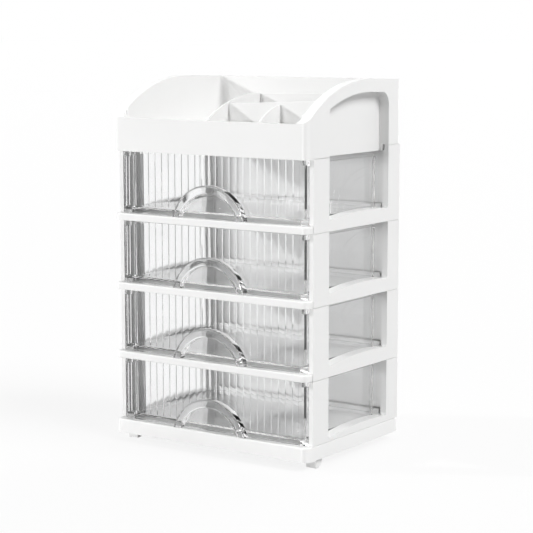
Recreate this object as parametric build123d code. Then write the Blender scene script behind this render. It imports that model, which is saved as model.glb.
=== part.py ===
from build123d import *
import math
import os

# Desktop organizer: four clear drawers in a stack of white moulded tiers, under an open tray.
# Millimetres, +X to the right, +Y to the back, +Z up. The origin is on the floor under the centre.
# Heights and depths in the functions are measured from the floor and from the front of the lips.

# Overall sizes
case_width = 232.4        # over the lips, the tray and the side frames
case_depth = 166.0        # lip front to rear edge
tier_pitch = 70.0         # from one shelf to the next
tier_count = 4
wall = 2.2                # general moulded wall
edge_round = 1.5          # rounding of the lips' upper edges
seam_depth = 0.8          # groove left where two frames meet
seam_height = 0.5

# Feet
foot_height = 9.0
foot_width = 11.5
foot_depth = 11.0
foot_round = 8.0          # rounding of the foot's rear lower edge
front_foot_side_gap = 1.4     # foot's outer face to the case side
front_foot_setback = 18.0     # lip front to foot front
rear_foot_centre = 69.0       # half the spacing of the rear pair
rear_foot_setback = 20.0      # foot rear to case rear
foot_boss_margin = 2.0

# Base plinth
plinth_height = 13.9
plinth_flare = 1.2        # how far the foot of the skirt stands out
lip_corner = 7.5
rear_corner = 4.0

# Shelves
shelf_height = 7.2        # lip face, and top of the shelf above the tier's bottom
shelf_rear_gap = 5.0      # shelf's rear edge to case rear
shelf_fit = 0.3           # gap from shelf to side frames
shelf_rib_count = 5
stop_height = 9.4         # rear stop rail above the shelf
stop_thickness = 3.0
tab_length = 3.2          # side tabs that key the shelf into the bars
tab_width = 12.0
tab_thickness = 2.4
tab_inset = 11.0          # end tabs' centres inside the window's posts

# Side frames
frame_setback = 10.0      # lip front to the post's front edge
frame_depth_x = 4.6       # depth of the flange that edges the frame
jamb_depth = 6.5          # depth of the window jambs
bar_width = 12.0          # box bar under the window
front_post = 27.0         # depth of the front post
rear_post = 21.7
bar_crown_share = 0.56    # place of the bar's crown along the window
bar_front_height = 9.8    # bar's top above the tier's bottom, at the window's front
bar_crown_height = 15.0
bar_rear_height = 12.8
window_corner = 3.0
post_rise = 6.0           # the top tier's rear posts reach up behind the tray's sides

# Back panels
panel_thickness = 2.0
panel_setback = 3.0       # panel's outer face to case rear
panel_fit = 0.4
panel_rim = 4.0           # depth of the panel's stiffening edge

# Drawers
drawer_setback = 7.0      # lip front to drawer front
drawer_rear_gap = 16.0    # drawer back to case rear
drawer_side_fit = 0.8     # body to the bars' inner walls
front_side_fit = 0.5      # front panel to the posts
drawer_lift = 0.3
front_gap_above = 1.4
front_corner = 6.0
front_return = 11.0       # depth of the wide front part
body_corner = 14.0
body_drop = 4.0           # body's rim below the front panel's top
drawer_wall = 2.0
front_wall = 2.6
drawer_floor = 2.0
floor_lift = 3.8          # hollow under the drawer's floor
base_band = 7.0           # thick band along the foot of the front
base_band_depth = 1.2
flute_pitch = 8.2
flute_depth = 0.6
flute_land = 0.6          # flat strip left between two flutes

# Handles, an arch that stands out of the drawer's front
handle_half_width = 43.5
handle_rise = 32.5
handle_band = 8.5
handle_reach = 7.2
handle_draft = 6.0        # degrees

# Top tray
tray_lap = 1.0            # front wall hangs this much below the tier joint
tray_front_height = 32.0
tray_side_height = 71.0
tray_shoulder_y = 54.0    # where the side's two arcs meet
tray_shoulder_drop = 7.6  # crown height to shoulder height
tray_crown_setback = 48.0 # crown to case rear
tray_bulge = 3.5          # rise of the front arc over its chord
tray_rear_drop = 1.0      # crown height to rear height
tray_floor = 2.2
tray_rim = 8.2            # outer face to the inner wall's outer face
tray_front_wall = 7.0
tray_rear_wall = 4.0
tray_notch_corner = 7.0   # where the front rim turns up into the sides
tray_taper_setback = 14.0 # drawn-in part of the inner walls to case rear
tray_taper_length = 22.0
tray_taper = 4.0
arch_band = 12.4          # white band over the tray's side windows
arch_corner = 13.0

# Tray dividers
divider_thickness = 1.8
divider_seat = 0.3
divider_bulge_share = 1 / 12  # rise of the arched top over its chord, by length
long_divider_x = -7.1
short_divider_x = 55.1
cross_divider_y = 45.0
rear_divider_y = 99.2
divider_front_height = 31.5
cross_height = 47.3
cross_end_height = 51.8
rear_divider_height = 55.4
rear_divider_end = 57.8
divider_edge_gap = 0.4

# Modelling allowances
overcut = 1.0             # how far a cutting shape runs past what it cuts
same_place = 0.01         # coordinates closer than this are one place

# Worked out
half_width = case_width / 2
bar_inner = half_width - bar_width
post_inner = half_width - frame_depth_x
bar_start = drawer_setback + front_return + front_side_fit
window_front = frame_setback + front_post
window_rear = case_depth - rear_post
bar_crown_y = window_front + bar_crown_share * (window_rear - window_front)
tab_positions = (
    window_front + tab_inset, (window_front + window_rear) / 2, window_rear - tab_inset
)
drawer_back = case_depth - drawer_rear_gap
plinth_top = foot_height + plinth_height
tier_bottoms = [
    plinth_top - shelf_height + tier_pitch * (tier_count - 1 - k) for k in range(tier_count)
]
tray_bottom = tier_bottoms[0] + tier_pitch
tray_low = tray_bottom - tray_lap
tray_clear_top = tray_bottom + tray_side_height + overcut


def at(x, y, z):
    """A place given by depth behind the lips' front instead of by Y."""
    return Pos(x, y - case_depth / 2, z)


def block(x0, x1, y0, y1, z0, z1):
    """A box between three pairs of limits."""
    body = Box(x1 - x0, y1 - y0, z1 - z0, align=(Align.MIN, Align.MIN, Align.MIN))
    return at(x0, y0, z0) * body


def plan_face(half, y0, y1, front_radius, rear_radius):
    """A plan outline, symmetric left and right, with its own front and rear corner radii."""
    face = Rectangle(2 * half, y1 - y0)
    face = fillet(face.vertices().sort_by(Axis.Y)[:2], front_radius)
    face = fillet(face.vertices().sort_by(Axis.Y)[-2:], rear_radius)
    return Pos(0, (y0 + y1) / 2) * face


def plan_prism(face, z0, z1, taper=0.0):
    return at(0, 0, z0) * extrude(face, amount=z1 - z0, taper=taper)


def side_prism(face, x0, x1):
    """Extrudes an outline drawn as (depth, height) along X."""
    return at(x0, 0, 0) * extrude(Plane.YZ * face, amount=x1 - x0)


def front_prism(face, y0, y1, taper=0.0):
    """Extrudes an outline drawn as (x, height) from y1 forward to y0."""
    return at(0, y1, 0) * extrude(Plane.XZ * face, amount=y1 - y0, taper=taper)


def outline(*edges):
    return make_face(Wire(edges))


# ---------------------------------------------------------------- base plinth and feet

def foot_corners():
    """Name, lowest x and front y of each foot."""
    outer = half_width - front_foot_side_gap
    rear_y = case_depth - rear_foot_setback - foot_depth
    return {
        "foot_front_left": (-outer, front_foot_setback),
        "foot_front_right": (outer - foot_width, front_foot_setback),
        "foot_rear_left": (-rear_foot_centre - foot_width / 2, rear_y),
        "foot_rear_right": (rear_foot_centre - foot_width / 2, rear_y),
    }


def foot(x0, y0):
    """A stub with a flat front whose back is rounded up to the plinth."""
    body = block(x0, x0 + foot_width, y0, y0 + foot_depth, 0, foot_height)
    heel = body.edges().filter_by(Axis.X).sort_by(Axis.Z)[:2].sort_by(Axis.Y)[-1]
    return fillet(heel, foot_round)


def base_plinth():
    """The base, a flared skirt closed on top, with a boss over each foot."""
    flare_angle = math.degrees(math.atan2(plinth_flare, plinth_height))
    skirt = plan_face(
        half_width + plinth_flare, -plinth_flare, case_depth + plinth_flare,
        lip_corner + plinth_flare, rear_corner + plinth_flare,
    )
    body = plan_prism(skirt, foot_height, plinth_top, flare_angle)
    top_edges = body.faces().sort_by(Axis.Z)[-1].edges()
    body = fillet(top_edges.filter_by(Axis.X).sort_by(Axis.Y)[0], edge_round)
    room = plan_face(
        half_width - wall, wall, case_depth - wall, lip_corner - wall, rear_corner - wall
    )
    hollow = plan_prism(room, foot_height - overcut, plinth_top - wall)
    for x0, y0 in foot_corners().values():
        hollow -= block(
            x0 - foot_boss_margin, x0 + foot_width + foot_boss_margin,
            y0 - foot_boss_margin, y0 + foot_depth + foot_boss_margin,
            foot_height - overcut, plinth_top,
        )
    return body - hollow - seam_groove(plinth_top, frame_setback, case_depth) + rear_stop(plinth_top)


def seam_groove(z_top, y0, y1):
    """Cuts the outer edge of a joint back on the sides, and where it reaches the front or rear."""
    z0 = z_top - seam_height
    z1 = z_top + overcut
    keep_half = half_width - seam_depth
    inner_y0 = max(y0, frame_setback + seam_depth)
    inner_y1 = min(y1, case_depth - seam_depth)
    groove = block(-case_width, case_width, y0 - same_place, y1 + same_place, z0, z1)
    return groove - block(-keep_half, keep_half, inner_y0, inner_y1, z0, z1)


def rear_stop(z):
    """The low rail across the back that a drawer shuts against."""
    y0 = drawer_back + 2 * drawer_lift
    half = bar_inner - shelf_fit
    return block(-half, half, y0, y0 + stop_thickness, z - wall, z + stop_height)


# ---------------------------------------------------------------- shelves

def ribs(half, count, z0, z1):
    """Evenly spaced stiffening ribs that run front to back."""
    spacing = 2 * half / (count + 1)
    rows = [-half + spacing * (n + 1) for n in range(count)]
    return Part() + [block(x - wall / 2, x + wall / 2, 0, case_depth, z0, z1) for x in rows]


def shelf(z0):
    """A drawer shelf with its full-width front lip, hollow underneath."""
    top = z0 + shelf_height
    under = top - wall
    lip_depth = frame_setback - shelf_fit
    rear = case_depth - shelf_rear_gap
    inner = bar_inner - shelf_fit
    throat = post_inner - shelf_fit
    lip_face = plan_face(half_width, 0, 2 * lip_corner + lip_depth, lip_corner, wall)
    body = plan_prism(lip_face, z0, top) & block(-case_width, case_width, 0, lip_depth, z0, top)
    body += block(-throat, throat, lip_depth / 2, bar_start - shelf_fit, z0, top)
    body += block(-inner, inner, lip_depth, rear, z0, top)
    lip_inner = half_width - lip_corner
    hollow = block(-lip_inner, lip_inner, wall, lip_depth - wall, z0 - overcut, under)
    hollow += block(-inner + wall, inner - wall, wall, rear - wall, z0 - overcut, under)
    body -= hollow - ribs(inner, shelf_rib_count, z0 + wall, top)
    front_edges = body.edges().filter_by(Axis.X).group_by(Axis.Y)[0]
    body = fillet(front_edges.group_by(Axis.Z)[-1], edge_round)
    for y in tab_positions:
        tab = block(
            inner - wall, inner + tab_length, y - tab_width / 2, y + tab_width / 2,
            under - tab_thickness, under,
        )
        body += tab + mirror(tab, Plane.YZ)
    return body + rear_stop(top)


# ---------------------------------------------------------------- side frames

def window_face(z0, z1, grow):
    """The window over a tier's bar: a crowned bottom, open at the top."""
    y0 = window_front - grow
    y1 = window_rear + grow
    front = (y0, z0 + bar_front_height - grow)
    crown = (bar_crown_y, z0 + bar_crown_height - grow)
    rear = (y1, z0 + bar_rear_height - grow)
    face = outline(
        ThreePointArc(front, crown, rear),
        Line(rear, (y1, z1)),
        Line((y1, z1), (y0, z1)),
        Line((y0, z1), front),
    )
    return fillet(face.vertices().sort_by(Axis.Y)[:2], window_corner)


def side_face(z_low, z0, z_high, rise, inset):
    """The frame's outline seen from the side: a bar and two posts."""
    y0 = frame_setback + inset
    y1 = case_depth - inset
    low = z_low + inset
    high = z_high - inset
    face = Pos((y0 + y1) / 2, (low + high) / 2) * Rectangle(y1 - y0, high - low)
    if rise:
        post = case_depth - window_rear - 2 * inset
        face += Pos(y1 - post / 2, (low + high + rise) / 2) * Rectangle(post, high + rise - low)
    return face - window_face(z0, z_high + rise + overcut, inset)


def bar_face(z_low, z0, inset, drop):
    """The bar alone, from behind the drawer's wide front to the rear edge."""
    y0 = bar_start + inset
    y1 = case_depth - inset
    low = z_low - drop
    front_top = z0 + bar_front_height - inset
    rear_top = z0 + bar_rear_height - inset
    a = (window_front - inset, front_top)
    b = (window_rear + inset, rear_top)
    crown = (bar_crown_y, z0 + bar_crown_height - inset)
    return outline(
        ThreePointArc(a, crown, b),
        Line(b, (y1, rear_top)),
        Line((y1, rear_top), (y1, low)),
        Line((y1, low), (y0, low)),
        Line((y0, low), (y0, front_top)),
        Line((y0, front_top), a),
    )


def side_frame(tier):
    """The right-hand side frame of a tier, counted from the top."""
    z0 = tier_bottoms[tier]
    z_high = z0 + tier_pitch
    lowest = tier == tier_count - 1
    z_low = plinth_top if lowest else z0
    rise = post_rise if tier == 0 else 0.0
    face = side_face(z_low, z0, z_high, rise, 0)
    edge = face - side_face(z_low, z0, z_high, rise, wall)
    frame = side_prism(face, half_width - wall, half_width)
    frame += side_prism(edge, post_inner, half_width)
    jamb = edge & (
        Pos(window_front - wall / 2, (z0 + z_high) / 2) * Rectangle(wall, tier_pitch)
        + Pos(window_rear + wall / 2, (z0 + z_high) / 2) * Rectangle(wall, tier_pitch)
    )
    frame += side_prism(jamb, half_width - jamb_depth, half_width)
    bar = side_prism(bar_face(z_low, z0, 0, 0), bar_inner, half_width)
    bar -= side_prism(bar_face(z_low, z0, wall, overcut), bar_inner + wall, half_width - wall)
    frame += bar
    if not lowest:
        top = z0 + shelf_height
        for y in tab_positions:
            frame -= block(
                bar_inner - overcut, bar_inner + wall + overcut,
                y - tab_width / 2 - shelf_fit, y + tab_width / 2 + shelf_fit,
                top - wall - tab_thickness - shelf_fit, top - wall + shelf_fit,
            )
    frame -= seam_groove(z_high, frame_setback, window_front)
    return frame - seam_groove(z_high + rise, window_rear, case_depth)


# ---------------------------------------------------------------- back panels

def back_panel(tier):
    """A plain sheet with a turned edge, between the rear posts."""
    z0 = tier_bottoms[tier] + shelf_height + panel_fit
    z1 = tier_bottoms[tier] + tier_pitch - panel_fit
    half = post_inner - panel_fit
    y1 = case_depth - panel_setback
    low_half = bar_inner - panel_fit
    ledge = tier_bottoms[tier] + bar_rear_height + panel_fit
    sheet = block(-half, half, y1 - panel_thickness, y1, ledge, z1)
    sheet += block(-low_half, low_half, y1 - panel_thickness, y1, z0, z1)
    rim = block(-half, half, y1 - panel_rim, y1, z1 - wall, z1)
    return sheet + rim


# ---------------------------------------------------------------- drawers

def half_moon(half, rise, z0):
    """A circular segment that stands on its chord."""
    left = (-half, z0)
    right = (half, z0)
    return outline(ThreePointArc(left, (0, z0 + rise), right), Line(right, left))


def handle(z0):
    """The half-moon block that stands out of the front."""
    y0 = drawer_setback - handle_reach
    y1 = drawer_setback + front_wall / 2
    arch = front_prism(half_moon(handle_half_width, handle_rise, z0), y0, y1, handle_draft)
    return arch & block(-case_width, case_width, y0, y1, z0, z0 + tier_pitch)


def handle_recess(z0):
    """The finger space that leaves the half-moon as an arched band."""
    face = half_moon(
        handle_half_width - handle_band, handle_rise - handle_band + overcut, z0 - overcut
    )
    return front_prism(face, drawer_setback - handle_reach - overcut, drawer_setback)


def flutes(z0, z1):
    """Shallow vertical grooves over the drawer's front, with a thin land between them."""
    half = post_inner - front_side_fit - front_corner
    count = int(2 * half / flute_pitch)
    half_chord = (flute_pitch - flute_land) / 2
    radius = (half_chord**2 + flute_depth**2) / (2 * flute_depth)
    centre_y = drawer_setback - radius + flute_depth
    rod = Cylinder(radius, z1 - z0, align=(Align.CENTER, Align.CENTER, Align.MIN))
    rows = [(n - (count - 1) / 2) * flute_pitch for n in range(count)]
    return Part() + [at(x, centre_y, z0) * rod for x in rows]


def drawer_room(body_half, front_half, z0, z1):
    """The space inside the drawer: the body's, the wide front's and the way between them."""
    y_step = drawer_setback + front_return
    inner_front = y_step - drawer_wall
    body_face = plan_face(
        body_half - drawer_wall, inner_front, drawer_back - drawer_wall,
        drawer_wall, body_corner - drawer_wall,
    )
    front_face = plan_face(
        front_half - drawer_wall, drawer_setback + front_wall, inner_front,
        front_corner - drawer_wall, drawer_wall / 2,
    )
    passage_half = body_half - drawer_wall
    passage = block(
        -passage_half, passage_half, inner_front - drawer_wall, y_step + drawer_wall, z0, z1
    )
    return plan_prism(body_face, z0, z1) + plan_prism(front_face, z0, z1) + passage


def drawer(tier):
    """A one-piece clear moulding: body, wide front panel, foot band and handle."""
    z0 = tier_bottoms[tier] + shelf_height + drawer_lift
    z1 = tier_bottoms[tier] + tier_pitch - front_gap_above
    y0 = drawer_setback
    front_half = post_inner - front_side_fit
    body_half = bar_inner - drawer_side_fit
    floor_top = z0 + floor_lift + drawer_floor
    front = plan_face(front_half, y0, y0 + front_return, front_corner, drawer_wall)
    body = plan_face(body_half, y0 + front_wall, drawer_back, drawer_wall, body_corner)
    underside = plan_face(
        body_half - drawer_wall, y0 + front_wall + base_band_depth,
        drawer_back - drawer_wall, drawer_wall, body_corner - drawer_wall,
    )
    shell = plan_prism(front, z0, z1) + plan_prism(body, z0, z1 - body_drop)
    shell -= plan_prism(underside, z0 - overcut, z0 + floor_lift)
    shell -= drawer_room(body_half, front_half, floor_top, z1 + overcut)
    shell -= flutes(z0 + base_band, z1 - overcut)
    return shell + handle(z0) - handle_recess(z0)


# ---------------------------------------------------------------- top tray

def tray_profile(low, drop, grow):
    """The tray's side profile: low front, two arcs up to the crown, nearly level to the rear."""
    crown_z = tray_bottom + tray_side_height - drop
    front = (-grow, tray_bottom + tray_front_height - drop)
    shoulder = (tray_shoulder_y, crown_z - tray_shoulder_drop)
    crown = (case_depth - tray_crown_setback, crown_z)
    rear = (case_depth + grow, crown_z - tray_rear_drop)
    chord_y = shoulder[0] - front[0]
    chord_z = shoulder[1] - front[1]
    chord = math.hypot(chord_y, chord_z)
    middle = (
        (front[0] + shoulder[0]) / 2 - tray_bulge * chord_z / chord,
        (front[1] + shoulder[1]) / 2 + tray_bulge * chord_y / chord,
    )
    arc = ThreePointArc(front, middle, shoulder)
    return outline(
        arc,
        TangentArc(shoulder, crown, tangent=arc % 1),
        Line(crown, rear),
        Line(rear, (rear[0], low)),
        Line((rear[0], low), (front[0], low)),
        Line((front[0], low), front),
    )


def bin_plan(inset):
    """The inner bin's plan: straight sides that draw in towards the back."""
    half = half_width - tray_rim - inset
    front = tray_front_wall - wall + inset
    rear = case_depth - tray_rear_wall
    taper_end = case_depth - tray_taper_setback
    taper_start = taper_end - tray_taper_length
    right = [
        (half, front), (half, taper_start), (half - tray_taper, taper_end),
        (half - tray_taper, rear),
    ]
    left = [(-x, y) for x, y in reversed(right)]
    face = make_face(Polyline(*right, *left, close=True))
    face = fillet(face.vertices().sort_by(Axis.Y)[:2], lip_corner - wall)
    return fillet(face.vertices().sort_by(Axis.Y)[-2:], rear_corner)


def front_notch():
    """Opens the tray's front down to the low rim, with a curved rise at both ends."""
    half = half_width - tray_rim - wall
    height = tray_side_height
    notch = Pos(0, tray_bottom + tray_front_height + height / 2) * Rectangle(2 * half, height)
    notch = fillet(notch.vertices().sort_by(Axis.Y)[:2], tray_notch_corner)
    return front_prism(notch, -overcut, tray_front_wall + overcut)


def tray_pocket():
    """The hollow between outer skin and bin, closed by the rim and open underneath."""
    low = tray_low - overcut
    shell = plan_face(
        half_width - wall, wall, case_depth - wall, lip_corner - wall, rear_corner - wall
    )
    pocket = plan_prism(shell, low, tray_clear_top)
    pocket &= side_prism(tray_profile(low, wall, 0), -half_width, half_width)
    pocket -= plan_prism(bin_plan(0), low - overcut, tray_clear_top + overcut)
    rim_under = tray_bottom + tray_front_height - wall
    bin_back = case_depth - tray_rear_wall
    front = block(-case_width, case_width, 0, tray_front_wall, low, rim_under)
    sides = block(-case_width, case_width, tray_front_wall, bin_back, low, tray_clear_top)
    return pocket & (front + sides)


def arch_face(grow):
    """The tray's side window, parallel to the outer arch."""
    y0 = window_front - grow
    y1 = window_rear + grow
    low = tray_low - overcut
    slot = Pos((y0 + y1) / 2, low) * Rectangle(y1 - y0, 2 * (tray_side_height + overcut))
    face = tray_profile(low, arch_band - grow, 0) & slot
    upper = face.vertices().group_by(Axis.Y)[1:]
    corners = [v for group in upper for v in group]
    face = fillet([v for v in corners if abs(v.X - y1) < same_place], arch_corner + grow)
    corners = [v for v in face.vertices() if v.Y > low + overcut]
    return fillet([v for v in corners if abs(v.X - y0) < same_place], window_corner)


def tray_window():
    """What a side window adds, a flange that meets the bin, and what it cuts from the skin."""
    opening = arch_face(0)
    deepest = half_width - tray_rim - tray_taper
    flange = side_prism(arch_face(wall) - opening, deepest, half_width)
    flange -= plan_prism(bin_plan(wall), tray_bottom, tray_clear_top)
    flange -= block(0, case_width, 0, case_depth, tray_low - 2 * overcut, tray_bottom)
    cut = side_prism(opening, deepest, half_width + overcut)
    cut -= plan_prism(bin_plan(0), tray_bottom, tray_clear_top)
    return flange, cut


def top_tray():
    """The open tray: outer skin, sunken bin, side windows and legs that stand on the frames."""
    plan = plan_face(half_width, 0, case_depth, lip_corner, rear_corner)
    body = plan_prism(plan, tray_low, tray_clear_top)
    body &= side_prism(tray_profile(tray_low, 0, overcut), -half_width, half_width)
    body -= block(
        -case_width, case_width, frame_setback - shelf_fit, case_depth,
        tray_low - overcut, tray_bottom,
    )
    body -= front_notch()
    body -= plan_prism(bin_plan(wall), tray_bottom + tray_floor, tray_clear_top)
    body -= tray_pocket()
    flange, cut = tray_window()
    body += flange + mirror(flange, Plane.YZ)
    body -= cut + mirror(cut, Plane.YZ)
    post_room = block(
        half_width - jamb_depth - shelf_fit, half_width + overcut,
        window_rear - overcut, case_depth + overcut,
        tray_bottom - overcut, tray_bottom + post_rise,
    )
    return body - post_room - mirror(post_room, Plane.YZ)


# ---------------------------------------------------------------- tray dividers

def long_wall(x, y_end, end_height):
    """A lengthwise divider: a straight foot and an arched top edge."""
    y0 = tray_front_wall + divider_edge_gap
    low = tray_bottom + tray_floor + divider_seat
    start = (y0, tray_bottom + divider_front_height)
    end = (y_end, tray_bottom + end_height)
    middle = (
        (y0 + y_end) / 2,
        (start[1] + end[1]) / 2 + (y_end - y0) * divider_bulge_share,
    )
    face = outline(
        ThreePointArc(start, middle, end),
        Line(end, (y_end, low)),
        Line((y_end, low), (y0, low)),
        Line((y0, low), start),
    )
    return side_prism(face, x - divider_thickness / 2, x + divider_thickness / 2)


def cross_wall(y, height, end_height):
    """A crosswise divider from the long divider to the right-hand wall."""
    x0 = long_divider_x + divider_thickness / 2 + divider_edge_gap
    x1 = half_width - tray_rim - wall - divider_edge_gap
    low = tray_bottom + tray_floor + divider_seat
    points = [
        (x0, low), (x1, low), (x1, tray_bottom + end_height), (x0, tray_bottom + height),
    ]
    face = make_face(Polyline(*points, close=True))
    return front_prism(face, y - divider_thickness / 2, y + divider_thickness / 2)


def tray_dividers():
    """The four loose walls that split the right half of the bin."""
    long_end = rear_divider_y + divider_thickness / 2
    short_end = cross_divider_y - divider_thickness / 2 - divider_edge_gap
    return {
        "tray_divider_long": long_wall(long_divider_x, long_end, rear_divider_height),
        "tray_divider_short": long_wall(short_divider_x, short_end, cross_height),
        "tray_divider_cross": cross_wall(cross_divider_y, cross_height, cross_end_height),
        "tray_divider_rear": cross_wall(rear_divider_y, rear_divider_height, rear_divider_end),
    }


# ---------------------------------------------------------------- the whole organizer

def build_parts():
    parts = {"base_plinth": base_plinth(), "top_tray": top_tray()}
    for name, corner in foot_corners().items():
        parts[name] = foot(*corner)
    for tier in range(tier_count):
        label = tier + 1
        parts[f"drawer_{label}"] = drawer(tier)
        parts[f"back_panel_{label}"] = back_panel(tier)
        right = side_frame(tier)
        parts[f"side_frame_right_{label}"] = right
        parts[f"side_frame_left_{label}"] = mirror(right, Plane.YZ)
        if tier < tier_count - 1:
            parts[f"shelf_{label}"] = shelf(tier_bottoms[tier])
    parts.update(tray_dividers())
    return parts


os.makedirs("parts", exist_ok=True)
for name, part in build_parts().items():
    export_step(part, f"parts/{name}.step")
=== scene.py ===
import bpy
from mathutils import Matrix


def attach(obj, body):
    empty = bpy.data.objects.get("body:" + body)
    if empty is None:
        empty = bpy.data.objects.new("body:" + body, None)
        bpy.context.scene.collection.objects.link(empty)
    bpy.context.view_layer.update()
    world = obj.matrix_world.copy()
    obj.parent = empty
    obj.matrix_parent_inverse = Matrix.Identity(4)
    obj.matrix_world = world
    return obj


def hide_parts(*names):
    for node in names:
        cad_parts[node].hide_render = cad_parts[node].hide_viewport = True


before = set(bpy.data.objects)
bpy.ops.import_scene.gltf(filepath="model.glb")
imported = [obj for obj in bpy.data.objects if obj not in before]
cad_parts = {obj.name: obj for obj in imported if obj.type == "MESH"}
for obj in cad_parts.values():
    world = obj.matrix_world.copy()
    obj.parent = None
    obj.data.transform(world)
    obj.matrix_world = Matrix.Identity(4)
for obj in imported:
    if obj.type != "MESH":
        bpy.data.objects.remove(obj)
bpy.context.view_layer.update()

import math

import bmesh
import bpy
from mathutils import Matrix, Vector


# ------------------------------------------------------------------ base plinth and feet
# The base is one white moulding in impact polystyrene, a flared skirt closed on top and
# hollow underneath. Four stub feet of the same plastic are plugged into bosses under it.

white_albedo = (0.83, 0.83, 0.826)
cloud_share = 0.985              # the darkest flow clouds, as a share of that white
white_roughness, gloss_spread = 0.34, 0.05
white_ior = 1.5
peel_strength, peel_height = 0.06, 0.0002
skirt_edge = 0.0012              # radii that the mould leaves on outer edges
mould_edge = 0.0006
mould_edge_steps = 2
mould_edge_angle = math.radians(40)
white_smooth_angle = math.radians(32)
same_point = 2e-6                # points nearer than this are one
flat_angle = math.radians(0.3)   # faces that turn by less lie in one plane


def fill(tree, socket, value):
    """Links a socket to another node's output, or sets it to a plain value."""
    if isinstance(value, bpy.types.NodeSocket):
        tree.links.new(value, socket)
    else:
        socket.default_value = value


def add(tree, kind, settings=(), **sockets):
    """A node with its settings and its inputs, each a value or another node's output."""
    node = tree.nodes.new(kind)
    for label, value in settings:
        setattr(node, label, value)
    for label, value in sockets.items():
        fill(tree, node.inputs[label.replace("_", " ")], value)
    return node


def noise(tree, coordinates, scale, detail):
    texture = add(
        tree, "ShaderNodeTexNoise", Scale=scale, Detail=detail, Vector=coordinates
    )
    return texture.outputs["Fac"]


def ranged(tree, value, low, high):
    """Noise, most of which lies between 0.3 and 0.7, spread over a range."""
    spread = add(
        tree, "ShaderNodeMapRange",
        From_Min=0.3, From_Max=0.7, To_Min=low, To_Max=high, Value=value,
    )
    return spread.outputs["Result"]


def tinted(tree, share, first, second):
    """A mix of two colours, with the second one's share."""
    mix = add(
        tree, "ShaderNodeMix", [("data_type", "RGBA")], A=first, B=second, Factor=share
    )
    return mix.outputs["Result"]


def white_plastic():
    """White plastic with faint flow clouds, a slightly uneven gloss and fine orange peel."""
    material = bpy.data.materials.new("white_moulded_plastic")
    material.use_nodes = True
    tree = material.node_tree
    shader = tree.nodes["Principled BSDF"]
    coordinates = tree.nodes.new("ShaderNodeTexCoord").outputs["Object"]
    clouds = ranged(tree, noise(tree, coordinates, scale=14.0, detail=3.0), 0.0, 1.0)
    clouded = (*[channel * cloud_share for channel in white_albedo], 1.0)
    fill(tree, shader.inputs["Base Color"], tinted(tree, clouds, clouded, (*white_albedo, 1.0)))
    gloss = ranged(
        tree, noise(tree, coordinates, scale=55.0, detail=4.0),
        white_roughness - gloss_spread, white_roughness + gloss_spread,
    )
    fill(tree, shader.inputs["Roughness"], gloss)
    peel = add(
        tree, "ShaderNodeBump", Strength=peel_strength, Distance=peel_height,
        Height=noise(tree, coordinates, scale=900.0, detail=2.0),
    )
    fill(tree, shader.inputs["Normal"], peel.outputs["Normal"])
    shader.inputs["IOR"].default_value = white_ior
    return material


white = white_plastic()


def joined_copy(node):
    """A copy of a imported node's mesh with its loose triangles joined and its flats cleaned."""
    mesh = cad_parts[node].data.copy()
    mesh.name = f"{node}_moulding"
    mesh.materials.clear()
    for layer in ("custom_normal", "sharp_face"):
        if layer in mesh.attributes:
            mesh.attributes.remove(mesh.attributes[layer])
    form = bmesh.new()
    form.from_mesh(mesh)
    bmesh.ops.remove_doubles(form, verts=form.verts, dist=same_point)
    bmesh.ops.dissolve_degenerate(form, edges=form.edges, dist=same_point)
    bmesh.ops.dissolve_limit(form, angle_limit=flat_angle, verts=form.verts, edges=form.edges)
    form.to_mesh(mesh)
    form.free()
    return mesh


def placed(name, data):
    """A mesh, lamp or camera put in the scene as an object."""
    thing = bpy.data.objects.new(name, data)
    bpy.context.scene.collection.objects.link(thing)
    return thing


def round_edges(piece, radius, steps, least_angle):
    """Rounds the edges at which a piece turns by more than an angle."""
    bevel = piece.modifiers.new("rounded_edges", "BEVEL")
    bevel.width = radius
    bevel.segments = steps
    bevel.limit_method = "ANGLE"
    bevel.angle_limit = least_angle
    bevel.harden_normals = True


def moulding(node, edge=mould_edge):
    """The finished white moulding that stands for a node, with rounded outer edges."""
    mesh = joined_copy(node)
    mesh.shade_smooth()
    mesh.set_sharp_from_angle(angle=white_smooth_angle)
    mesh.materials.append(white)
    piece = placed(f"{node}_moulding", mesh)
    round_edges(piece, edge, mould_edge_steps, mould_edge_angle)
    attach(piece, "frame")
    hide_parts(node)


moulding("base_plinth", skirt_edge)
for corner in ("front_left", "front_right", "rear_left", "rear_right"):
    moulding(f"foot_{corner}")


# ------------------------------------------------------------------ side frames, shelves and backs
# Each tier is two side frames with a bowed box bar under the window, a back panel between the
# rear posts and a shelf keyed into the bars. All are white injection mouldings that clip together.

panel_edge, lip_edge = 0.0004, 0.001

for tier in range(1, 5):
    moulding(f"side_frame_left_{tier}")
    moulding(f"side_frame_right_{tier}")
    moulding(f"back_panel_{tier}", panel_edge)
for tier in range(1, 4):
    moulding(f"shelf_{tier}", lip_edge)


# ------------------------------------------------------------------ drawers
# Each drawer is one clear moulding in general-purpose polystyrene, with a fluted front, a
# half-moon finger arch and a polished finish. It slides on the shelf under it.

clear_ior = 1.49
deep_tint, pale_tint = (0.978, 0.98, 0.982, 1.0), (0.992, 0.993, 0.995, 1.0)
most_haze = 0.006                # the roughest places of the polish
lamp_pass = (1.0, 1.0, 1.0, 1.0)           # what each wall passes of light from a lamp
bounce_pass = (0.77, 0.772, 0.775, 1.0)    # and of light from a dull surface

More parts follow.
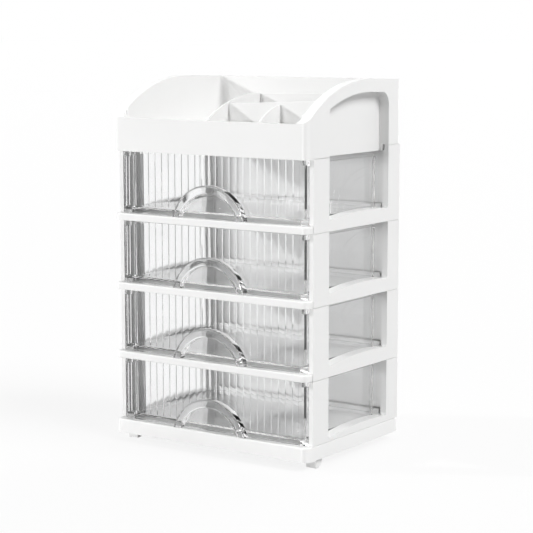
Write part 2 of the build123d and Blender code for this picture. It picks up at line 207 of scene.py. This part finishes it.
tier_bottoms = (0.2257, 0.1557, 0.0857, 0.0157)
lip_front = -0.083               # Y of the lips' front; depths are measured from it
drawer_low, drawer_top = 0.0075, 0.0686    # heights are measured from the tier's bottom
tub_top = 0.0646                 # the tub's rim is lower than the front panel's
tub_floor, tub_underside = 0.0133, 0.0113
panel_half, tub_half = 0.1111, 0.1034
panel_front, panel_back, tub_back = 0.007, 0.018, 0.150
pane, side_wall = 0.0026, 0.002
panel_round, tub_round, small_round = 0.006, 0.014, 0.001
round_steps = 16
panel_root = 0.06                # the panel's upper part starts inside the tub's walls
over_rims = 0.08                 # a height above every rim

stop_width, stop_depth = 0.0048, 0.0036
stop_into_pane, stop_into_wall, stop_sunk = 0.0002, 0.0005, 0.0003

foot_band = 0.0075               # the smooth band below the flutes
flute_pitch, flute_land, flute_slope, flute_hollow = 0.0082, 0.0008, 0.00055, 0.0001
flute_steps = 16
flute_past = 0.001               # how far the cutting form stands past face and rim

arch_half, arch_rise, arch_band, arch_reach = 0.0435, 0.0325, 0.0085, 0.0072
arch_edge, arch_edge_steps, arch_steps = 0.0018, 8, 57
arch_into_pane = 0.0012
arch_root = 0.002                # the feet start this far below and are trimmed off
moon_inset, moon_proud, moon_steps = 0.001, 0.0001, 56
trim_half, trim_front, trim_back, trim_low = 0.2, -0.1, 0.3, -0.01

polished_edge, polished_edge_steps = 0.0003, 3
polished_edge_angle = math.radians(50)
clear_smooth_angle = math.radians(14)


def maths(tree, operation, first, second):
    """What a Math node gives for two sides, each a number or another node's output."""
    node = add(tree, "ShaderNodeMath", [("operation", operation)])
    fill(tree, node.inputs[0], first)
    fill(tree, node.inputs[1], second)
    return node.outputs[0]


def show_mix(tree, share, first, second):
    """Puts a mix of two shaders on the surface, with the second one's share."""
    mix = add(tree, "ShaderNodeMixShader", Fac=share)
    tree.links.new(first, mix.inputs[1])
    tree.links.new(second, mix.inputs[2])
    tree.links.new(mix.outputs["Shader"], tree.nodes["Material Output"].inputs["Surface"])


def clear_plastic():
    """Clear plastic, very faintly clouded, that lamps and dull surfaces light through unbent."""
    material = bpy.data.materials.new("clear_polystyrene")
    material.use_nodes = True
    tree = material.node_tree
    shader = tree.nodes["Principled BSDF"]
    shader.inputs["Transmission Weight"].default_value = 1.0
    shader.inputs["IOR"].default_value = clear_ior
    coordinates = tree.nodes.new("ShaderNodeTexCoord").outputs["Object"]
    clouds = ranged(tree, noise(tree, coordinates, scale=20.0, detail=2.0), 0.0, 1.0)
    fill(tree, shader.inputs["Base Color"], tinted(tree, clouds, deep_tint, pale_tint))
    haze = ranged(tree, noise(tree, coordinates, scale=12.0, detail=0.0), 0.0, most_haze)
    fill(tree, shader.inputs["Roughness"], haze)
    path = tree.nodes.new("ShaderNodeLightPath")
    from_lamp, from_dull = path.outputs["Is Shadow Ray"], path.outputs["Is Diffuse Ray"]
    passing = add(
        tree, "ShaderNodeBsdfTransparent", Color=tinted(tree, from_dull, lamp_pass, bounce_pass)
    )
    unbent = maths(tree, "MAXIMUM", from_lamp, from_dull)
    show_mix(tree, unbent, shader.outputs["BSDF"], passing.outputs["BSDF"])
    return material


clear = clear_plastic()


def rounded_loop(corners):
    """A plan loop: each corner is (x, depth, radius), given anticlockwise seen from above."""
    loop = []
    for place, (x, y, radius) in enumerate(corners):
        corner = Vector((x, y))
        before = Vector(corners[place - 1][:2]) - corner
        after = Vector(corners[(place + 1) % len(corners)][:2]) - corner
        before.normalize()
        after.normalize()
        half_angle = math.acos(max(-1.0, min(1.0, before.dot(after)))) / 2
        reach = radius / math.tan(half_angle)
        middle = (before + after).normalized()
        centre = corner + middle * radius / math.sin(half_angle)
        first = corner + before * reach - centre
        last = corner + after * reach - centre
        turn = math.atan2(first.x * last.y - first.y * last.x, first.dot(last))
        for step in range(round_steps + 1):
            spoke = first.copy()
            spoke.rotate(Matrix.Rotation(turn * step / round_steps, 2))
            loop.append((centre.x + spoke.x, centre.y + spoke.y))
    return loop


def prism(name, loop, low, high):
    """A closed solid over a plan loop, between two heights."""
    form = bmesh.new()
    base = [form.verts.new((x, lip_front + y, low)) for x, y in loop]
    top = [form.verts.new((x, lip_front + y, high)) for x, y in loop]
    form.faces.new(list(reversed(base)))
    form.faces.new(top)
    count = len(loop)
    for n in range(count):
        form.faces.new((base[n], base[(n + 1) % count], top[(n + 1) % count], top[n]))
    mesh = bpy.data.meshes.new(name)
    bmesh.ops.recalc_face_normals(form, faces=form.faces)
    form.to_mesh(mesh)
    form.free()
    return placed(name, mesh)


def upright_prism(name, loop, front, back):
    """A closed solid over an outline drawn as (x, height), between two depths."""
    solid = prism(name, [(x, z - lip_front) for x, z in loop], front, back)
    stood_up = Matrix(((1, 0, 0, 0), (0, 0, 1, lip_front), (0, 1, 0, 0), (0, 0, 0, 1)))
    solid.data.transform(stood_up)
    solid.data.flip_normals()
    return solid


def settle(piece):
    """Turns a piece with its modifiers into a plain mesh, in place."""
    evaluated = piece.evaluated_get(bpy.context.evaluated_depsgraph_get())
    mesh = bpy.data.meshes.new_from_object(evaluated)
    piece.modifiers.clear()
    piece.data = mesh


def combine(piece, tool, operation):
    """Adds a tool's solid to a piece or takes it away, and uses the tool up."""
    step = piece.modifiers.new("combine", "BOOLEAN")
    step.operation = operation
    step.solver = "EXACT"
    step.object = tool
    settle(piece)
    bpy.data.objects.remove(tool)


def both_sides(right):
    """The corners of the right half of a plan, and their mirror image."""
    return right + [(-x, y, r) for x, y, r in reversed(right)]


# The tub and its front panel are one blank, hollowed from above, with a recess underneath.
room_front = panel_front + pane
room_step = panel_back - side_wall
tub_corners = both_sides([
    (panel_half, panel_front, panel_round), (panel_half, panel_back, small_round),
    (tub_half, panel_back, small_round), (tub_half, tub_back, tub_round),
])
panel_corners = both_sides([
    (panel_half, panel_front, panel_round), (panel_half, panel_back, small_round),
])
room_corners = both_sides([
    (panel_half - side_wall, room_front, panel_round - side_wall),
    (panel_half - side_wall, room_step, small_round / 2),
    (tub_half - side_wall, room_step, small_round / 2),
    (tub_half - side_wall, tub_back - side_wall, tub_round - side_wall),
])
under_corners = both_sides([
    (tub_half - side_wall, panel_front + 2 * pane, small_round),
    (tub_half - side_wall, tub_back - side_wall, tub_round - side_wall),
])
blank = prism("drawer_blank", rounded_loop(tub_corners), drawer_low, tub_top)
combine(blank, prism("panel", rounded_loop(panel_corners), panel_root, drawer_top), "UNION")
combine(blank, prism("room", rounded_loop(room_corners), tub_floor, over_rims), "DIFFERENCE")
combine(blank, prism("under", rounded_loop(under_corners), 0.0, tub_underside), "DIFFERENCE")

# A small stop block fills each top corner behind the pane.
stop_inner = panel_half - side_wall - stop_width
stop_outer = panel_half - stop_into_wall
for side in (-1, 1):
    stop_loop = [
        (side * stop_inner, room_front - stop_into_pane),
        (side * stop_outer, room_front - stop_into_pane),
        (side * stop_outer, room_front + stop_depth),
        (side * stop_inner, room_front + stop_depth),
    ]
    stop = prism("corner_stop", stop_loop, drawer_top - stop_width, drawer_top - stop_sunk)
    combine(blank, stop, "UNION")


def tree_with(name, inputs):
    """A geometry node tree with a geometry socket at each end and named sizes."""
    tree = bpy.data.node_groups.new(name, "GeometryNodeTree")
    tree.interface.new_socket("Geometry", in_out="INPUT", socket_type="NodeSocketGeometry")
    tree.interface.new_socket("Geometry", in_out="OUTPUT", socket_type="NodeSocketGeometry")
    for label, kind in inputs:
        tree.interface.new_socket(label, in_out="INPUT", socket_type=f"NodeSocket{kind}")
    return tree, tree.nodes.new("NodeGroupInput").outputs, tree.nodes.new("NodeGroupOutput")


def finish_tree(tree, geometry, plastic, result):
    """Ends a tree in plain geometry of one plastic."""
    plain = add(tree, "GeometryNodeRealizeInstances", Geometry=geometry)
    coated = add(
        tree, "GeometryNodeSetMaterial", Geometry=plain.outputs["Geometry"], Material=plastic
    )
    fill(tree, result.inputs["Geometry"], coated.outputs["Geometry"])


def run_tree(piece, tree, values):
    """Runs a tree on a piece once, with its sizes set by socket identifier, and keeps the mesh."""
    step = piece.modifiers.new(tree.name, "NODES")
    step.node_group = tree
    sockets = {s.name: s.identifier for s in tree.interface.items_tree if s.in_out == "INPUT"}
    for label, value in values.items():
        step[sockets[label]] = value
    settle(piece)


# The flutes are cut by a row of one form, a pitch apart, that leaves a narrow ridge between.
flute_tree, given, result = tree_with("flute_cutter", [
    ("Form", "Object"), ("Pitch", "Float"), ("Count", "Int"), ("Plastic", "Material"),
])
gaps = maths(flute_tree, "SUBTRACT", given["Count"], 1.0)
span = maths(flute_tree, "MULTIPLY", gaps, given["Pitch"])
start = add(flute_tree, "ShaderNodeCombineXYZ", X=maths(flute_tree, "MULTIPLY", span, -0.5))
pitch_step = add(flute_tree, "ShaderNodeCombineXYZ", X=given["Pitch"])
row = add(
    flute_tree, "GeometryNodeMeshLine", Count=given["Count"],
    Start_Location=start.outputs[0], Offset=pitch_step.outputs[0],
)
form = add(flute_tree, "GeometryNodeObjectInfo", Object=given["Form"])
forms = add(
    flute_tree, "GeometryNodeInstanceOnPoints",
    Points=row.outputs["Mesh"], Instance=form.outputs["Geometry"],
)
solid_forms = add(flute_tree, "GeometryNodeRealizeInstances", Geometry=forms.outputs["Instances"])
cutter = add(
    flute_tree, "GeometryNodeMeshBoolean", [("operation", "DIFFERENCE"), ("solver", "EXACT")],
    Mesh_1=given["Geometry"], Mesh_2=solid_forms.outputs["Geometry"],
)
finish_tree(flute_tree, cutter.outputs["Mesh"], given["Plastic"], result)

half_flute = (flute_pitch - flute_land) / 2
half_hollow = half_flute - flute_slope
flute_loop = []
for step in range(flute_steps + 1):
    across = 1 - 2 * step / flute_steps
    depth = flute_slope + flute_hollow * (1 - across**2)
    flute_loop.append((half_hollow * across, panel_front + depth))
flute_loop += [
    (-half_flute, panel_front), (-half_flute, panel_front - flute_past),
    (half_flute, panel_front - flute_past), (half_flute, panel_front),
]
flute_form = prism("flute_form", flute_loop, drawer_low + foot_band, drawer_top + flute_past)
run_tree(blank, flute_tree, {
    "Form": flute_form,
    "Pitch": flute_pitch,
    "Count": int(2 * (panel_half - panel_round) / flute_pitch),
    "Plastic": clear,
})
bpy.data.objects.remove(flute_form)

# The finger arch is a band swept along an arc, on a smooth half-moon pane.
arch_tree, given, result = tree_with("finger_arch", [
    ("Half Width", "Float"), ("Rise", "Float"), ("Foot", "Float"), ("Depth Position", "Float"),
    ("Band", "Float"), ("Reach", "Float"), ("Rounding", "Float"), ("Plastic", "Material"),
])
place, foot, half_width = given["Depth Position"], given["Foot"], given["Half Width"]
left_x = maths(arch_tree, "MULTIPLY", half_width, -1.0)
crown = maths(arch_tree, "ADD", foot, given["Rise"])
left = add(arch_tree, "ShaderNodeCombineXYZ", X=left_x, Y=place, Z=foot)
middle = add(arch_tree, "ShaderNodeCombineXYZ", Y=place, Z=crown)
right = add(arch_tree, "ShaderNodeCombineXYZ", X=half_width, Y=place, Z=foot)
arc = add(
    arch_tree, "GeometryNodeCurveArc", [("mode", "POINTS")], Resolution=arch_steps,
    Start=left.outputs[0], Middle=middle.outputs[0], End=right.outputs[0],
)
section = add(
    arch_tree, "GeometryNodeCurvePrimitiveQuadrilateral",
    Width=given["Reach"], Height=given["Band"],
)
rounded = add(
    arch_tree, "GeometryNodeFilletCurve", [("mode", "POLY")],
    Curve=section.outputs["Curve"], Radius=given["Rounding"], Count=arch_edge_steps,
)
band = add(
    arch_tree, "GeometryNodeCurveToMesh",
    Curve=arc.outputs["Curve"], Profile_Curve=rounded.outputs["Curve"], Fill_Caps=True,
)
finish_tree(arch_tree, band.outputs["Mesh"], given["Plastic"], result)

arch = placed("arch", bpy.data.meshes.new("arch"))
run_tree(arch, arch_tree, {
    "Half Width": arch_half - arch_band / 2,
    "Rise": arch_rise - arch_band / 2 + arch_root,
    "Foot": drawer_low - arch_root,
    "Depth Position": lip_front + panel_front - arch_reach / 2 + arch_into_pane / 2,
    "Band": arch_band,
    "Reach": arch_reach + arch_into_pane,
    "Rounding": arch_edge,
    "Plastic": clear,
})
combine(blank, arch, "UNION")

moon_radius = (arch_half**2 + arch_rise**2) / (2 * arch_rise)
moon_centre = drawer_low + arch_rise - moon_radius
moon_angle = math.asin(arch_half / moon_radius)
half_moon = []
for step in range(moon_steps + 1):
    angle = moon_angle * (1 - 2 * step / moon_steps)
    half_moon.append((
        (moon_radius - moon_inset) * math.sin(angle),
        moon_centre + (moon_radius - moon_inset) * math.cos(angle),
    ))
moon_pane = upright_prism("moon_pane", half_moon, panel_front - moon_proud, panel_front + pane / 2)
combine(blank, moon_pane, "UNION")

# A block wider than the drawer cuts the arch's feet off level with its underside.
trim_loop = [
    (-trim_half, trim_front), (trim_half, trim_front),
    (trim_half, trim_back), (-trim_half, trim_back),
]
combine(blank, prism("trim", trim_loop, trim_low, drawer_low), "DIFFERENCE")

blank.data.materials.clear()
blank.data.materials.append(clear)
for face in blank.data.polygons:
    face.material_index = 0
blank.data.shade_smooth()
blank.data.set_sharp_from_angle(angle=clear_smooth_angle)
round_edges(blank, polished_edge, polished_edge_steps, polished_edge_angle)
settle(blank)
for tier, low in enumerate(tier_bottoms, 1):
    mesh = blank.data.copy()
    mesh.transform(Matrix.Translation((0.0, 0.0, low)))
    drawer = placed(f"drawer_{tier}_moulding", mesh)
    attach(drawer, f"drawer_{tier}_body")
    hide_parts(f"drawer_{tier}")
bpy.data.objects.remove(blank)


# ------------------------------------------------------------------ top tray and its dividers
# The tray is one white moulding, a sunken bin in an outer skin with arched sides. The four thin
# dividers are loose white walls that stand in it.

tray_edge, divider_edge = 0.0012, 0.0004

moulding("top_tray", tray_edge)
for name in ("long", "short", "cross", "rear"):
    moulding(f"tray_divider_{name}", divider_edge)


# ------------------------------------------------------------------ stage, light and camera
# A plain pale floor in a white studio that is dark behind the camera. Four sun lamps stand for
# its soft boxes: a key from the left, and fills from the front, the right and behind.

floor_half = 40.0
floor_grey, floor_roughness = (0.4, 0.4, 0.4, 1.0), 0.9
floor_glow, floor_glow_share = 1.15, 0.75
dark_side = (0.8, -0.6, 0.0)                   # the way to the dark side of the studio
dark_from, dark_to = -0.1, 0.6                 # where it starts, and where it is darkest
pale_strength, dark_strength = 1.0, 0.14
surround_share = 0.22                          # how bright it all is as a lamp on dull surfaces
lamps = {                                      # direction, strength, apparent size in degrees
    "key": ((1.0, 0.55, -0.4), 1.95, 1.2),
    "front_fill": ((0.1, 1.0, -0.06), 1.15, 8.0),
    "right_fill": ((-0.68, 0.0, -0.73), 2.95, 30.0),
    "rear_fill": ((0.05, -1.0, -0.15), 1.2, 30.0),
}
camera_place = Vector((0.9875, -1.4004, 0.4163))
camera_yaw, camera_down = math.radians(34.86), math.radians(7.92)
sensor_width, focal_length = 36.0, 116.1


def by_ray(tree, seen, lighting):
    """A number for what is seen, and another for what lights a dull surface."""
    path = tree.nodes.new("ShaderNodeLightPath")
    choice = add(
        tree, "ShaderNodeMapRange",
        To_Min=seen, To_Max=lighting, Value=path.outputs["Is Diffuse Ray"],
    )
    return choice.outputs["Result"]


floor_mesh = bpy.data.meshes.new("floor")
floor_mesh.from_pydata(
    [(x * floor_half, y * floor_half, 0.0) for x, y in ((-1, -1), (1, -1), (1, 1), (-1, 1))],
    [], [(0, 1, 2, 3)],
)
floor = placed("floor", floor_mesh)
floor_material = bpy.data.materials.new("pale_floor")
floor_material.use_nodes = True
floor_tree = floor_material.node_tree
floor_shader = floor_tree.nodes["Principled BSDF"]
floor_shader.inputs["Base Color"].default_value = floor_grey
floor_shader.inputs["Roughness"].default_value = floor_roughness
glow = add(floor_tree, "ShaderNodeEmission", Strength=floor_glow)
glow_share = by_ray(floor_tree, floor_glow_share, 0.0)
show_mix(floor_tree, glow_share, floor_shader.outputs["BSDF"], glow.outputs["Emission"])
floor_mesh.materials.append(floor_material)

world = bpy.data.worlds.new("even_white")
world.use_nodes = True
sky = world.node_tree
backdrop = sky.nodes["Background"]
backdrop.inputs["Color"].default_value = (1.0, 1.0, 1.0, 1.0)
facing = add(sky, "ShaderNodeVectorMath", [("operation", "DOT_PRODUCT")])
fill(sky, facing.inputs[0], sky.nodes.new("ShaderNodeTexCoord").outputs["Generated"])
fill(sky, facing.inputs[1], dark_side)
studio = add(
    sky, "ShaderNodeMapRange", From_Min=dark_from, From_Max=dark_to,
    To_Min=pale_strength, To_Max=dark_strength, Value=facing.outputs["Value"],
)
dimmed = maths(sky, "MULTIPLY", studio.outputs["Result"], by_ray(sky, 1.0, surround_share))
straight_on = sky.nodes.new("ShaderNodeLightPath").outputs["Is Camera Ray"]
fill(sky, backdrop.inputs["Strength"], maths(sky, "MAXIMUM", dimmed, straight_on))
bpy.context.scene.world = world

for name, (direction, strength, apparent_size) in lamps.items():
    light = bpy.data.lights.new(name, "SUN")
    light.energy = strength
    light.angle = math.radians(apparent_size)
    lamp = placed(name, light)
    lamp.rotation_euler = Vector(direction).to_track_quat("-Z", "Y").to_euler()

view_line = Vector((
    -math.sin(camera_yaw) * math.cos(camera_down),
    math.cos(camera_yaw) * math.cos(camera_down),
    -math.sin(camera_down),
))
camera = placed("camera", bpy.data.cameras.new("camera"))
camera.data.sensor_width = sensor_width
camera.data.lens = focal_length
camera.matrix_world = (
    Matrix.Translation(camera_place) @ view_line.to_track_quat("-Z", "Y").to_matrix().to_4x4()
)
bpy.context.scene.camera = camera
bpy.context.scene.view_settings.view_transform = "Standard"

# A view crosses many clear walls before it ends on white plastic, so light is followed far.
light_paths = bpy.context.scene.cycles
light_paths.max_bounces = 40
light_paths.transmission_bounces = 32
light_paths.diffuse_bounces = 10
light_paths.glossy_bounces = 32
light_paths.transparent_max_bounces = 32
